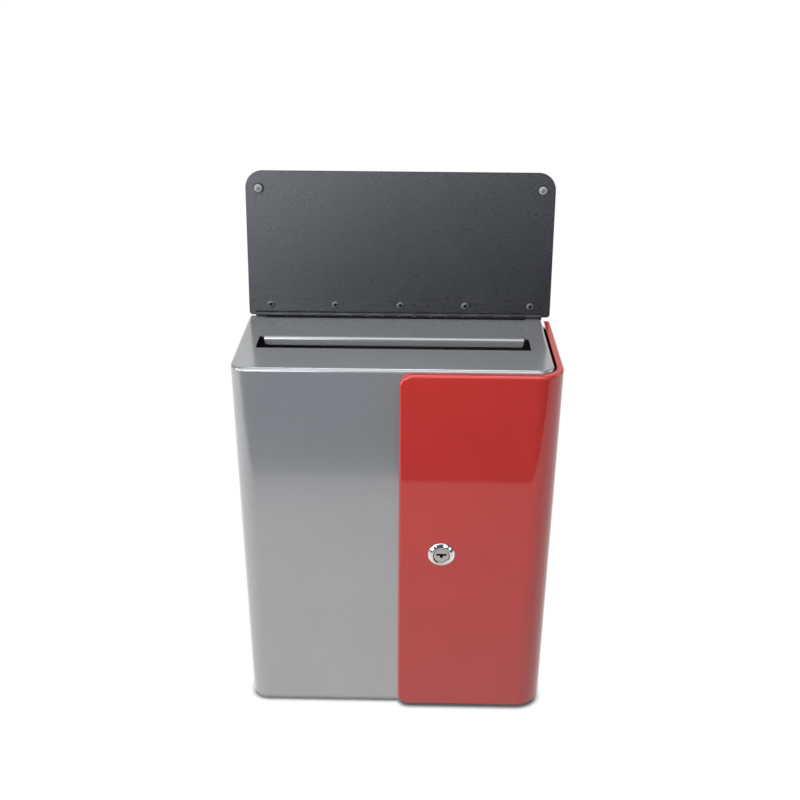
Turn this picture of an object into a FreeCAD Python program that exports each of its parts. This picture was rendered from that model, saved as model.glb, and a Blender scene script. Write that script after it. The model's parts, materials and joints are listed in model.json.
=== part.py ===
import FreeCAD, Part
import math
import os
import re
import Sketcher

# Donation box of folded sheet steel, with a hinged lid over its slot and a locking door round one corner.
# Millimetres. X to the right, Y to the back, Z up. Origin: middle of the body's footprint, on the floor.

doc = FreeCAD.newDocument("donation_box")
sheet = doc.addObject("Spreadsheet::Sheet", "Sizes")

SIZES = [
    ("body_width", 262, "body, over the side walls"),
    ("body_depth", 116, "body, front to back"),
    ("body_height", 340, "body, floor to top panel"),
    ("wall", 1.5, "body sheet"),
    ("corner_round", 15, "outside radius of the two upright front bends"),
    ("fold_round", 3, "outside radius of the tight folds"),
    ("turn_down", 5, "depth of the top panel's front and side turn-downs"),
    ("top_flange", 12, "depth of the top panel's rear flange"),
    ("floor_flange", 14, "height of the bottom panel's flanges"),
    ("floor_corner", 5, "rear corners of the bottom panel"),
    ("floor_bevel", 1.2, "broken lower edge of the bottom panel"),
    ("floor_relief", 0.4, "the bottom panel's bends are this much rounder than the wrap's"),
    ("back_flange", 18, "depth of the back panel's side flanges"),
    ("back_drop", 1.8, "back panel's top edge below the top face"),
    ("flange_end", 18, "back panel's flanges stop this far from its ends"),
    ("mount_pitch_x", 180, "wall holes, across"),
    ("mount_pitch_z", 220, "wall holes, up"),
    ("mount_hole", 3.25, "wall hole radius"),
    ("slot_length", 230, "slot, end to end"),
    ("slot_setback", 43, "front face to the slot's front edge"),
    ("slot_width", 24, "slot, front edge to the lip's face"),
    ("lip_drop", 7.3, "lip below the top face"),
    ("lip_inset", 4, "lip's ends inside the slot's ends"),
    ("lip_corner", 3, "lip's lower corners"),
    ("lip_root", 0.3, "flat between the lip's fold and the slot's rear edge"),
    ("opening_left", 22, "left edge of the door opening, from the middle"),
    ("opening_margin", 22, "body left above and below the door opening"),
    ("opening_rear", 28, "side wall left behind the door opening"),
    ("opening_round", 6, "corners of the door opening"),
    ("door_gap", 2, "shadow gap between the body and the door's turned-in edges"),
    ("door_depth", 5.4, "door, front face to its turned-in edges"),
    ("door_skin", 1.5, "door sheet"),
    ("door_left", 6, "left edge of the door, from the middle"),
    ("door_top_drop", 1.5, "door's top edge below the top panel"),
    ("door_rise", 1.5, "door's lower edge above the floor"),
    ("door_corner", 10, "rounded front corners of the door's outline"),
    ("door_rear_corner", 2, "rounded rear corners of the door's outline"),
    ("door_edge", 2.2, "outside radius of the door's turned-in edges"),
    ("lid_sheet", 2, "lid plate"),
    ("lid_reach", 125.3, "hinge axis to the lid's front edge"),
    ("lid_tail", 1.6, "lid behind the hinge axis"),
    ("lid_front_round", 15, "lid's front corners"),
    ("lid_rear_round", 3, "lid's rear corners"),
    ("lid_bevel", 0.5, "broken edges of the lid"),
    ("lid_lean", 9.5, "open lid past upright, degrees"),
    ("hinge_inset", 6.2, "body's left face to the lid hinge"),
    ("hinge_margin", 0.2, "lid hinge to the body's right face"),
    ("hinge_lift", 2.5, "lid hinge axis above the top panel"),
    ("knuckle_count", 18, "knuckles of the lid hinge"),
    ("knuckle_radius", 2.1, "outside of the lid hinge's knuckles"),
    ("knuckle_play", 0.3, "gap between a knuckle and what turns by it"),
    ("leaf", 1, "lid hinge leaf sheet"),
    ("leaf_width", 13, "lid hinge axis to a leaf's edge"),
    ("leaf_offset", 1.8, "lid hinge axis to the body leaf's rear face"),
    ("pin_radius", 1, "lid hinge pin"),
    ("pin_fit", 0.05, "running gap of a turning fit"),
    ("rivet_count", 5, "rivets in each leaf of the lid hinge"),
    ("rivet_end", 12, "ends of the lid hinge to its rivets, on average"),
    ("rivet_shift", 1.5, "row of rivets to the right of the lid hinge's middle"),
    ("rivet_setback", 8.3, "lid hinge axis to the rivets"),
    ("rivet_shank", 1.6, "rivet shank radius"),
    ("rivet_head", 3.25, "rivet head radius"),
    ("rivet_top", 2.1, "flat of a rivet head, radius"),
    ("rivet_crown", 1.6, "height of the rivet heads under the lid"),
    ("rivet_flat", 1.1, "height of the low rivet heads at the back"),
    ("bumper_radius", 4.6, "bumper at the lid"),
    ("bumper_height", 4.6, "bumper below the lid"),
    ("bumper_skirt", 1.6, "bumper's straight side"),
    ("bumper_top", 2.8, "bumper's flat end, radius"),
    ("bumper_side", 11.5, "bumper to the lid's side edge"),
    ("bumper_front", 15, "bumper to the lid's front edge"),
    ("butt_length", 60, "door hinge, end to end"),
    ("butt_end", 6, "door hinge from the door's ends"),
    ("butt_count", 3, "knuckles of a door hinge"),
    ("butt_leaf", 0.9, "door hinge leaf sheet"),
    ("butt_width", 14, "door hinge axis to a leaf's edge"),
    ("butt_radius", 2.6, "outside of the door hinge's knuckles"),
    ("butt_pin", 1.2, "door hinge pin radius"),
    ("butt_setback", 1.7, "door hinge axis before the body's rear edge"),
    ("door_tail", 1.5, "door behind its hinge axis"),
    ("lock_inset", 37, "door's left edge to the lock"),
    ("bezel_radius", 11.5, "lock bezel"),
    ("bezel_height", 2.8, "lock bezel before the door"),
    ("bezel_skirt", 0.8, "bezel's straight side"),
    ("bezel_crest", 9.8, "radius of the bezel's crest"),
    ("bezel_dip", 0.9, "bezel's inner edge behind its crest"),
    ("barrel_radius", 9.5, "lock barrel through the door"),
    ("barrel_fit", 0.1, "gap round the barrel in the door"),
    ("plug_radius", 7.8, "lock plug"),
    ("plug_recess", 1, "plug face behind the bezel's crest"),
    ("keyway_width", 9, "keyway, across"),
    ("keyway_height", 2, "keyway, high"),
    ("keyway_stem", 2.6, "keyway's stem, wide"),
    ("keyway_drop", 2.2, "keyway's stem, down"),
    ("keyway_depth", 4, "keyway, deep"),
    ("nut_across", 25, "lock nut, across flats"),
    ("nut_height", 3, "lock nut, thick"),
    ("cam_gap", 0.5, "cam behind the front wall"),
    ("cam_sheet", 2, "cam plate"),
    ("cam_reach", 30, "lock axis to the cam's tip"),
    ("cam_width", 14, "cam arm"),
    ("cam_tip", 4, "corners of the cam"),
    ("tail_square", 7, "plug's square tail, across"),
    ("washer_radius", 6, "cam washer"),
    ("washer_sheet", 1, "cam washer, thick"),
    ("screw_head", 4.5, "cam screw head radius"),
    ("screw_top", 3, "flat of the cam screw head, radius"),
    ("screw_crown", 2.6, "cam screw head height"),
    ("cross_reach", 1.6, "cam screw's cross, middle to end"),
    ("cross_half", 0.5, "cam screw's cross, half its width"),
    ("cross_floor", 0.9, "bottom of the cam screw's cross above the washer"),
    ("screw_shank", 2.5, "cam screw shank radius"),
    ("screw_depth", 6, "cam screw into the plug"),
]

# Places that several pieces share, worked out from the sizes above
PLACES = [
    ("half_width", "body_width / 2"),
    ("half_depth", "body_depth / 2"),
    ("bend_x", "half_width - corner_round"),
    ("bend_y", "-half_depth + corner_round"),
    ("inner_fold", "fold_round - wall"),
    ("seam_z", "body_height - turn_down"),
    ("rear_fold", "half_depth - wall - fold_round"),
    ("slot_front", "-half_depth + slot_setback"),
    ("lip_face", "slot_front + slot_width"),
    ("slot_back", "lip_face + fold_round + lip_root"),
    ("door_front", "-half_depth - door_gap - door_depth"),
    ("door_side", "half_width + door_gap + door_depth"),
    ("door_top", "body_height - door_top_drop"),
    ("door_bend", "corner_round + door_gap + door_depth"),
    ("axis_y", "half_depth + leaf - leaf_offset"),
    ("axis_z", "body_height + hinge_lift"),
    ("hinge_x", "-half_width + hinge_inset"),
    ("hinge_length", "body_width - hinge_inset - hinge_margin"),
    ("hinge_mid", "hinge_x + hinge_length / 2"),
    ("knuckle_pitch", "hinge_length / knuckle_count"),
    ("knuckle_clear", "knuckle_radius + knuckle_play"),
    ("rivet_span", "hinge_length - 2 * rivet_end"),
    ("rivet_pitch", "rivet_span / (rivet_count - 1)"),
    ("rivet_mid", "hinge_mid + rivet_shift"),
    ("rivet_z", "axis_z - rivet_setback"),
    ("lid_under", "knuckle_clear"),
    ("lid_leaf_low", "lid_under - leaf"),
    ("skin_side", "door_side - door_skin"),
    ("skin_front", "door_front + door_skin"),
    ("butt_x", "(half_width + skin_side) / 2"),
    ("butt_y", "half_depth - butt_setback"),
    ("butt_pitch", "butt_length / butt_count"),
    ("butt_clear", "butt_radius + knuckle_play"),
    ("upper_butt", "door_top - butt_end - butt_length"),
    ("lower_butt", "door_rise + butt_end"),
    ("door_back", "butt_y + door_tail"),
    ("lock_x", "door_left + lock_inset"),
    ("lock_z", "(door_rise + door_top) / 2"),
    ("door_inside", "door_front + door_depth"),
    ("bezel_face", "door_front - bezel_height"),
    ("plug_face", "bezel_face + plug_recess"),
    ("plug_bore", "plug_radius + pin_fit"),
    ("cam_front", "-half_depth + wall + cam_gap"),
    ("barrel_end", "cam_front - pin_fit"),
    ("cam_back", "cam_front + cam_sheet"),
    ("washer_back", "cam_back + washer_sheet"),
]
WORDS = [row[0] for row in SIZES] + [row[0] for row in PLACES]


def full(text):
    """The expression with every size named by its cell."""
    return re.sub(r"[a-z_]+", lambda m: "Sizes." + m.group(0) if m.group(0) in WORDS else m.group(0), text)


def fill_sheet():
    for row, (word, size, note) in enumerate(SIZES, start=1):
        sheet.set("A%d" % row, note)
        sheet.set("B%d" % row, str(size))
        sheet.setAlias("B%d" % row, word)
    for row, (word, text) in enumerate(PLACES, start=1):
        sheet.set("C%d" % row, word.replace("_", " "))
        sheet.setAlias("D%d" % row, word)
    doc.recompute()
    for row, (word, text) in enumerate(PLACES, start=1):
        sheet.set("D%d" % row, "=" + text)
    doc.recompute()


def size(text):
    """The present value of an expression of sizes."""
    return float(sheet.evalExpression(full(text)))


fill_sheet()


# Sketches and the features made from them

def new_body(label):
    body = doc.addObject("PartDesign::Body", label)
    body.Label = label
    body.AllowCompound = True
    return body


def place(body, x="0", y="0", z="0"):
    for axis, text in zip("xyz", (x, y, z)):
        body.setExpression("Placement.Base." + axis, full(text))


def new_sketch(body, name, plane, offset="0"):
    sketch = body.newObject("Sketcher::SketchObject", name)
    role = [item for item in body.Origin.OriginFeatures if item.Role == plane]
    sketch.AttachmentSupport = (role[0], "")
    sketch.MapMode = "FlatFace"
    sketch.setExpression("AttachmentOffset.Base.z", full(offset))
    return sketch


def tie(sketch, kind, geometry, point, text):
    """Hold one coordinate of a sketch point, or a radius, to an expression."""
    amount = size(text)
    if kind == "Radius":
        index = sketch.addConstraint(Sketcher.Constraint("Radius", geometry, amount))
    else:
        index = sketch.addConstraint(Sketcher.Constraint(kind, -1, 1, geometry, point, amount))
    sketch.setExpression("Constraints[%d]" % index, full(text))


def tie_point(sketch, geometry, point, spot):
    tie(sketch, "DistanceX", geometry, point, spot[0])
    tie(sketch, "DistanceY", geometry, point, spot[1])


def step(spot, other, text):
    """The expressions of a point that lies a given length from spot towards other, along X or Y."""
    moved = []
    for here, there in zip(spot, other):
        side = size(there) - size(here)
        sign = 0 if abs(side) < 1e-9 else math.copysign(1, side)
        moved.append(here if sign == 0 else "%s %s (%s)" % (here, "+" if sign > 0 else "-", text))
    return tuple(moved)


def vector(spot):
    return FreeCAD.Vector(size(spot[0]), size(spot[1]), 0)


def outline(sketch, corners):
    """A closed outline through corners (x, y) or, where it is round, (x, y, radius)."""
    count = len(corners)
    spots = []
    for index, corner in enumerate(corners):
        here = corner[:2]
        if len(corner) == 2:
            spots.append((here, here))
        else:
            before = step(here, corners[index - 1][:2], corner[2])
            after = step(here, corners[(index + 1) % count][:2], corner[2])
            spots.append((before, after))
    lines = []
    for index in range(count):
        start = spots[index][1]
        end = spots[(index + 1) % count][0]
        lines.append(sketch.addGeometry(Part.LineSegment(vector(start), vector(end)), False))
        tie_point(sketch, lines[-1], 1, start)
    for index, corner in enumerate(corners):
        last = lines[index - 1]
        line = lines[index]
        if len(corner) == 2:
            sketch.addConstraint(Sketcher.Constraint("Coincident", last, 2, line, 1))
            continue
        before, after = spots[index]
        tie_point(sketch, last, 2, before)
        bend = add_bend(sketch, corner, before, after)
        sketch.addConstraint(Sketcher.Constraint("Coincident", bend[0], bend[1], last, 2))
        sketch.addConstraint(Sketcher.Constraint("Coincident", bend[0], bend[2], line, 1))
        tie(sketch, "Radius", bend[0], 0, corner[2])


def add_bend(sketch, corner, before, after):
    """A quarter arc round a corner; returns it with the numbers of its first and last points."""
    first = vector(before)
    last = vector(after)
    centre = first + last - vector(corner[:2])
    turn = (vector(corner[:2]) - first).cross(last - vector(corner[:2])).z
    start, end = (first, last) if turn > 0 else (last, first)
    begin = math.atan2(start.y - centre.y, start.x - centre.x)
    finish = math.atan2(end.y - centre.y, end.x - centre.x)
    circle = Part.Circle(centre, FreeCAD.Vector(0, 0, 1), (first - centre).Length)
    arc = sketch.addGeometry(Part.ArcOfCircle(circle, begin, finish), False)
    return (arc, 1, 2) if turn > 0 else (arc, 2, 1)


def circle(sketch, x, y, radius):
    geometry = sketch.addGeometry(Part.Circle(vector((x, y)), FreeCAD.Vector(0, 0, 1), size(radius)), False)
    tie_point(sketch, geometry, 3, (x, y))
    tie(sketch, "Radius", geometry, 0, radius)


def prism(body, name, plane, low, high, draw, cut=False):
    """Add or cut a straight length of a drawn outline, from low to high across its plane."""
    behind = plane == "XZ_Plane"
    offset = "-(%s)" % high if behind else low
    sketch = new_sketch(body, name + "_sketch", plane, offset)
    draw(sketch)
    doc.recompute()
    before = body.Shape.Volume if cut else 0
    feature = body.newObject("PartDesign::Pocket" if cut else "PartDesign::Pad", name)
    feature.Profile = sketch
    feature.Type = 0
    feature.setExpression("Length", full("(%s) - (%s)" % (high, low)))
    feature.Reversed = cut
    sketch.Visibility = False
    doc.recompute()
    if cut and body.Shape.Volume > before - 1e-6:
        raise RuntimeError(name + " cuts nothing")
    return feature


def frame(x0, x1, y0, y1, radius=None):
    """A rectangle to draw, with all its corners round where a radius is given."""
    ring = [(x0, y0), (x1, y0), (x1, y1), (x0, y1)]
    return lambda sketch: outline(sketch, [spot + ((radius,) if radius else ()) for spot in ring])


def rounds(spots, radius):
    """Several circles of one radius to draw."""
    def draw(sketch):
        for x, y in spots:
            circle(sketch, x, y, radius)
    return draw


def revolve(body, name, plane, corners):
    """A turned solid: a half outline (radius, length) spun about the sketch's upright axis."""
    sketch = new_sketch(body, name + "_sketch", plane)
    outline(sketch, corners)
    doc.recompute()
    feature = body.newObject("PartDesign::Revolution", name)
    feature.Profile = sketch
    feature.ReferenceAxis = (sketch, ["V_Axis"])
    feature.Angle = 360
    sketch.Visibility = False
    doc.recompute()
    return feature


def row_of(body, feature, pitch, count):
    """Repeat a feature along the X axis."""
    pattern = body.newObject("PartDesign::LinearPattern", feature.Name + "_row")
    pattern.Originals = [feature]
    pattern.Direction = (feature.Profile[0], ["H_Axis"])
    pattern.setExpression("Length", full("%s * (%s - 1)" % (pitch, count)))
    pattern.setExpression("Occurrences", full(count))
    body.Tip = pattern
    doc.recompute()
    return pattern


def round_edges(body, name, radius, wanted):
    """Round every edge of the body that the test picks."""
    doc.recompute()
    base = body.Tip
    picked = ["Edge%d" % n for n, edge in enumerate(base.Shape.Edges, start=1) if wanted(edge)]
    if not picked:
        raise RuntimeError(name + " finds no edge")
    fillet = body.newObject("PartDesign::Fillet", name)
    fillet.Base = (base, picked)
    fillet.setExpression("Radius", full(radius))
    doc.recompute()
    return fillet


def bevel_edges(body, name, width, wanted):
    """Break every edge of the body that the test picks."""
    doc.recompute()
    base = body.Tip
    picked = ["Edge%d" % n for n, edge in enumerate(base.Shape.Edges, start=1) if wanted(edge)]
    if not picked:
        raise RuntimeError(name + " finds no edge")
    chamfer = body.newObject("PartDesign::Chamfer", name)
    chamfer.Base = (base, picked)
    chamfer.setExpression("Size", full(width))
    doc.recompute()
    return chamfer


NEAR = 1e-4


def near(a, b):
    return abs(a - b) < NEAR


def runs_along(edge, axis):
    """True for a straight edge along one of the axes x, y and z."""
    box = edge.BoundBox
    spans = {"x": box.XLength, "y": box.YLength, "z": box.ZLength}
    return all(spans[other] < NEAR for other in "xyz" if other != axis) and spans[axis] > NEAR


# Folded body wrap: front and both sides, rounded at the front corners

def make_body_wrap():
    body = new_body("body_wrap")
    wrap = [
        ("-half_width", "half_depth"),
        ("-half_width", "-half_depth", "corner_round"),
        ("half_width", "-half_depth", "corner_round"),
        ("half_width", "half_depth"),
        ("half_width - wall", "half_depth"),
        ("half_width - wall", "-half_depth + wall", "corner_round - wall"),
        ("-half_width + wall", "-half_depth + wall", "corner_round - wall"),
        ("-half_width + wall", "half_depth"),
    ]
    prism(body, "wrap", "XY_Plane", "0", "seam_z", lambda sketch: outline(sketch, wrap))
    low = "opening_margin"
    high = "body_height - opening_margin"
    door_hole = [
        ("opening_left", low, "opening_round"),
        ("half_width + wall", low),
        ("half_width + wall", high),
        ("opening_left", high, "opening_round"),
    ]
    prism(body, "door_opening", "XZ_Plane", "-half_depth - wall", "half_depth - opening_rear",
          lambda sketch: outline(sketch, door_hole), cut=True)
    return body


# Top panel: a cap that is folded down at its front and sides, with the slot and the lip at its rear edge

def make_top_panel():
    body = new_body("top_panel")
    top = "body_height"
    under = "body_height - wall"

    def cap(inset, back):
        x = "half_width - (%s)" % inset
        front = "-half_depth + (%s)" % inset
        bend = "corner_round - (%s)" % inset
        ring = [("-(%s)" % x, back), ("-(%s)" % x, front, bend), (x, front, bend), (x, back)]
        return lambda sketch: outline(sketch, ring)
    prism(body, "cap", "XY_Plane", "seam_z", top, cap("0", "half_depth"))

    def fold(edge):
        box = edge.BoundBox
        return near(box.ZMin, size(top)) and box.YMin < size("half_depth") - NEAR
    round_edges(body, "folds", "fold_round", fold)
    prism(body, "hollow", "XY_Plane", "seam_z - wall", under, cap("wall", "half_depth + wall"), cut=True)
    prism(body, "rear_notch", "XY_Plane", under, "body_height + wall",
          frame("-bend_x", "bend_x", "rear_fold", "half_depth + wall"), cut=True)
    flange = [
        ("rear_fold - wall", under),
        ("rear_fold - wall", top),
        ("half_depth - wall", top, "fold_round"),
        ("half_depth - wall", "body_height - top_flange"),
        ("half_depth - 2 * wall", "body_height - top_flange"),
        ("half_depth - 2 * wall", under, "inner_fold"),
    ]
    prism(body, "rear_flange", "YZ_Plane", "-bend_x", "bend_x", lambda sketch: outline(sketch, flange))
    slot = frame("-slot_length / 2", "slot_length / 2", "slot_front", "slot_back")
    prism(body, "slot", "XY_Plane", "body_height - 2 * wall", "body_height + wall", slot, cut=True)
    lip = [
        ("slot_back", under),
        ("slot_back", top),
        ("lip_face", top, "fold_round"),
        ("lip_face", "body_height - lip_drop"),
        ("lip_face + wall", "body_height - lip_drop"),
        ("lip_face + wall", under, "inner_fold"),
    ]
    half_lip = "slot_length / 2 - lip_inset"
    prism(body, "lip", "YZ_Plane", "-(%s)" % half_lip, half_lip, lambda sketch: outline(sketch, lip))

    def lip_end(edge):
        low = near(edge.BoundBox.ZMax, size("body_height - lip_drop"))
        return runs_along(edge, "y") and low and near(abs(edge.BoundBox.XMin), size(half_lip))
    round_edges(body, "lip_corners", "lip_corner", lip_end)
    return body


# Bottom panel: a shallow tray inside the foot of the wrap

def make_bottom_panel():
    body = new_body("bottom_panel")

    def tray(inset):
        x = "half_width - wall - (%s)" % inset
        front = "-half_depth + wall + (%s)" % inset
        back = "half_depth - wall - (%s)" % inset
        bend = "corner_round - wall + floor_relief - (%s)" % inset
        rear = "floor_corner - (%s)" % inset
        ring = [("-(%s)" % x, front, bend), (x, front, bend), (x, back, rear), ("-(%s)" % x, back, rear)]
        return lambda sketch: outline(sketch, ring)
    prism(body, "tray", "XY_Plane", "0", "floor_flange", tray("0"))
    prism(body, "hollow", "XY_Plane", "wall", "floor_flange + wall", tray("wall"), cut=True)
    bevel_edges(body, "foot", "floor_bevel", lambda edge: edge.BoundBox.ZMax < NEAR)
    return body


# Back panel: a plate with side flanges, wall holes and the holes for the hinge rivets

def rivet_spots(z):
    middle = size("rivet_count - 1") / 2
    return [("rivet_mid + rivet_pitch * (%g)" % (n - middle), z) for n in range(int(size("rivet_count")))]


def make_back_panel():
    body = new_body("back_panel")
    front = "half_depth - back_flange"
    outer = "half_width - wall"
    inner = "half_width - 2 * wall"
    section = [
        ("-(%s)" % outer, front),
        ("-(%s)" % inner, front),
        ("-(%s)" % inner, "half_depth - wall", "inner_fold"),
        (inner, "half_depth - wall", "inner_fold"),
        (inner, front),
        (outer, front),
        (outer, "half_depth", "fold_round"),
        ("-(%s)" % outer, "half_depth", "fold_round"),
    ]
    high = "body_height - back_drop"
    prism(body, "plate", "XY_Plane", "0", high, lambda sketch: outline(sketch, section))
    clear = frame("-half_width", "half_width", "half_depth - back_flange - wall", "half_depth - wall")
    prism(body, "lower_relief", "XY_Plane", "0", "flange_end", clear, cut=True)
    prism(body, "upper_relief", "XY_Plane", "body_height - flange_end", "body_height", clear, cut=True)
    prism(body, "rivet_holes", "XZ_Plane", "half_depth - 2 * wall", "half_depth + wall",
          rounds(rivet_spots("rivet_z"), "rivet_shank"), cut=True)
    heights = ["body_height / 2 %s mount_pitch_z / 2" % sign for sign in "+-"]
    spots = [("%smount_pitch_x / 2" % sign, z) for sign in ("", "-") for z in heights]
    prism(body, "wall_holes", "XZ_Plane", "half_depth - 2 * wall", "half_depth + wall",
          rounds(spots, "mount_hole"), cut=True)
    return body


# Lid hinge: two leaves whose knuckles take turns along one pin

def knuckle_spans(first, start, pitch, count):
    """Low and high ends of every second knuckle, from the given one on."""
    spans = []
    for n in range(first, int(size(count)), 2):
        spans.append(("%s + %s * %d + knuckle_play / 2" % (start, pitch, n),
                      "%s + %s * %d - knuckle_play / 2" % (start, pitch, n + 1)))
    return spans


def make_lid_hinge_body_leaf():
    body = new_body("lid_hinge_body_leaf")
    edge = "axis_z - leaf_width"
    prism(body, "leaf_sheet", "YZ_Plane", "hinge_x", "hinge_x + hinge_length",
          frame("half_depth", "half_depth + leaf", edge, "axis_z - knuckle_clear"))
    spans = knuckle_spans(0, "hinge_x", "knuckle_pitch", "knuckle_count")
    for n, (low, high) in enumerate(spans):
        prism(body, "tab_%d" % n, "YZ_Plane", low, high,
              frame("half_depth", "half_depth + leaf", "axis_z - knuckle_clear - leaf", "axis_z"))
        prism(body, "knuckle_%d" % n, "YZ_Plane", low, high, rounds([("axis_y", "axis_z")], "knuckle_radius"))
    prism(body, "bore", "YZ_Plane", "hinge_x - leaf", "hinge_x + hinge_length + leaf",
          rounds([("axis_y", "axis_z")], "pin_radius"), cut=True)
    prism(body, "rivet_holes", "XZ_Plane", "half_depth - leaf", "half_depth + 2 * leaf",
          rounds(rivet_spots("rivet_z"), "rivet_shank"), cut=True)
    return body


def make_lid_hinge_pin():
    body = new_body("lid_hinge_pin")
    prism(body, "pin", "YZ_Plane", "hinge_x", "hinge_x + hinge_length",
          rounds([("axis_y", "axis_z")], "pin_radius"))
    return body


def make_body_leaf_rivets():
    body = new_body("body_leaf_rivets")
    place(body, x="rivet_mid - rivet_span / 2", z="rivet_z")
    outer = "half_depth + leaf"
    profile = [
        ("0", "half_depth - wall"),
        ("rivet_shank", "half_depth - wall"),
        ("rivet_shank", outer),
        ("rivet_head", outer),
        ("rivet_top", "%s + rivet_flat" % outer),
        ("0", "%s + rivet_flat" % outer),
    ]
    rivet = revolve(body, "rivet", "XY_Plane", profile)
    row_of(body, rivet, "rivet_pitch", "rivet_count")
    return body


# Lid and what is fixed to it, drawn closed about the hinge axis and then turned open

def place_on_lid(body, x="0", y="0"):
    """Turn a piece of the lid, drawn closed about the hinge axis, to the open lid's place."""
    turn = "-(90 + lid_lean)"
    body.setExpression("Placement.Base.x", full(x))
    body.setExpression("Placement.Base.y", full("axis_y + (%s) * cos((%s) * 1 deg)" % (y, turn)))
    body.setExpression("Placement.Base.z", full("axis_z + (%s) * sin((%s) * 1 deg)" % (y, turn)))
    body.Placement.Rotation = FreeCAD.Rotation(FreeCAD.Vector(1, 0, 0), size(turn))
    body.setExpression("Placement.Rotation.Axis.x", "1")
    body.setExpression("Placement.Rotation.Angle", full(turn))


def make_lid_plate():
    body = new_body("lid_plate")
    ring = [
        ("-half_width", "-lid_reach", "lid_front_round"),
        ("door_side", "-lid_reach", "lid_front_round"),
        ("door_side", "lid_tail", "lid_rear_round"),
        ("-half_width", "lid_tail", "lid_rear_round"),
    ]
    prism(body, "plate", "XY_Plane", "lid_under", "lid_under + lid_sheet", lambda sketch: outline(sketch, ring))
    bevel_edges(body, "edges", "lid_bevel", lambda edge: edge.BoundBox.ZLength < NEAR)
    prism(body, "rivet_holes", "XY_Plane", "lid_under - leaf", "lid_under + 2 * lid_sheet",
          rounds(rivet_spots("-rivet_setback"), "rivet_shank"), cut=True)
    place_on_lid(body)
    return body


def make_lid_hinge_lid_leaf():
    body = new_body("lid_hinge_lid_leaf")
    prism(body, "leaf_sheet", "YZ_Plane", "hinge_x", "hinge_x + hinge_length",
          frame("-leaf_width", "-knuckle_clear", "lid_leaf_low", "lid_under"))
    spans = knuckle_spans(1, "hinge_x", "knuckle_pitch", "knuckle_count")
    for n, (low, high) in enumerate(spans):
        prism(body, "tab_%d" % n, "YZ_Plane", low, high,
              frame("-knuckle_clear - leaf", "0", "lid_leaf_low", "lid_under"))
        prism(body, "knuckle_%d" % n, "YZ_Plane", low, high, rounds([("0", "0")], "knuckle_radius"))
    prism(body, "bore", "YZ_Plane", "hinge_x - leaf", "hinge_x + hinge_length + leaf",
          rounds([("0", "0")], "pin_radius + pin_fit"), cut=True)
    prism(body, "rivet_holes", "XY_Plane", "lid_leaf_low - leaf", "lid_under + leaf",
          rounds(rivet_spots("-rivet_setback"), "rivet_shank"), cut=True)
    place_on_lid(body)
    return body


def make_lid_rivets():
    body = new_body("lid_rivets")
    crown = "lid_leaf_low - rivet_crown"
    profile = [
        ("0", "lid_under + lid_sheet"),
        ("rivet_shank", "lid_under + lid_sheet"),
        ("rivet_shank", "lid_leaf_low"),
        ("rivet_head", "lid_leaf_low"),
        ("rivet_top", crown),
        ("0", crown),
    ]
    rivet = revolve(body, "rivet", "XZ_Plane", profile)
    row_of(body, rivet, "rivet_pitch", "rivet_count")
    place_on_lid(body, x="rivet_mid - rivet_span / 2", y="-rivet_setback")
    return body


def make_lid_bumper(label, x):
    body = new_body(label)
    profile = [
        ("0", "lid_under"),
        ("bumper_radius", "lid_under"),
        ("bumper_radius", "lid_under - bumper_skirt"),
        ("bumper_top", "lid_under - bumper_height"),
        ("0", "lid_under - bumper_height"),
    ]
    revolve(body, "dome", "XZ_Plane", profile)
    place_on_lid(body, x=x, y="-lid_reach + bumper_front")
    return body


# Door: one sheet bent round the front right corner, with its upper, lower and left edges turned in

def make_door_panel():
    body = new_body("door_panel")
    section = [
        ("door_left", "door_front"),
        ("door_side", "door_front", "door_bend"),
        ("door_side", "door_back"),
        ("door_side - door_depth", "door_back"),
        ("door_side - door_depth", "door_inside", "door_bend - door_depth"),
        ("door_left", "door_inside"),
    ]
    prism(body, "outside", "XY_Plane", "door_rise", "door_top", lambda sketch: outline(sketch, section))

    def front_corner(edge):
        return runs_along(edge, "y") and near(edge.BoundBox.XMin, size("door_left"))
    round_edges(body, "front_corners", "door_corner", front_corner)

    def rear_corner(edge):
        return runs_along(edge, "x") and near(edge.BoundBox.YMin, size("door_back"))
    round_edges(body, "rear_corners", "door_rear_corner", rear_corner)

    def on_rim(edge):
        box = edge.BoundBox
        front = near(box.YMin, size("door_front")) and box.YLength < NEAR and box.XMin < size("bend_x - wall")
        side = near(box.XMax, size("door_side")) and box.XLength < NEAR and runs_along(edge, "y")
        bend = near(box.XMax, size("door_side")) and near(box.YMin, size("door_front")) and box.ZLength < NEAR
        return front or side or bend
    round_edges(body, "turned_edges", "door_edge", on_rim)
    low = "door_rise + door_skin"
    high = "door_top - door_skin"
    front_hollow = [
        ("door_left + door_skin", low, "door_corner - door_skin"),
        ("bend_x", low),
        ("bend_x", high),
        ("door_left + door_skin", high, "door_corner - door_skin"),
    ]
    prism(body, "front_hollow", "XZ_Plane", "skin_front", "door_inside + wall",
          lambda sketch: outline(sketch, front_hollow), cut=True)
    side_hollow = [
        ("bend_x - wall", "skin_front"),
        ("skin_side", "skin_front", "door_bend - door_skin"),
        ("skin_side", "door_back + wall"),
        ("bend_x - wall", "door_back + wall"),
    ]
    prism(body, "side_hollow", "XY_Plane", low, high, lambda sketch: outline(sketch, side_hollow), cut=True)
    prism(body, "lock_hole", "XZ_Plane", "door_front - wall", "skin_front + wall",
          rounds([("lock_x", "lock_z")], "barrel_radius + barrel_fit"), cut=True)
    return body


# Door hinges: leaf on the body's side wall, leaf inside the door, and a pin between them

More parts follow.
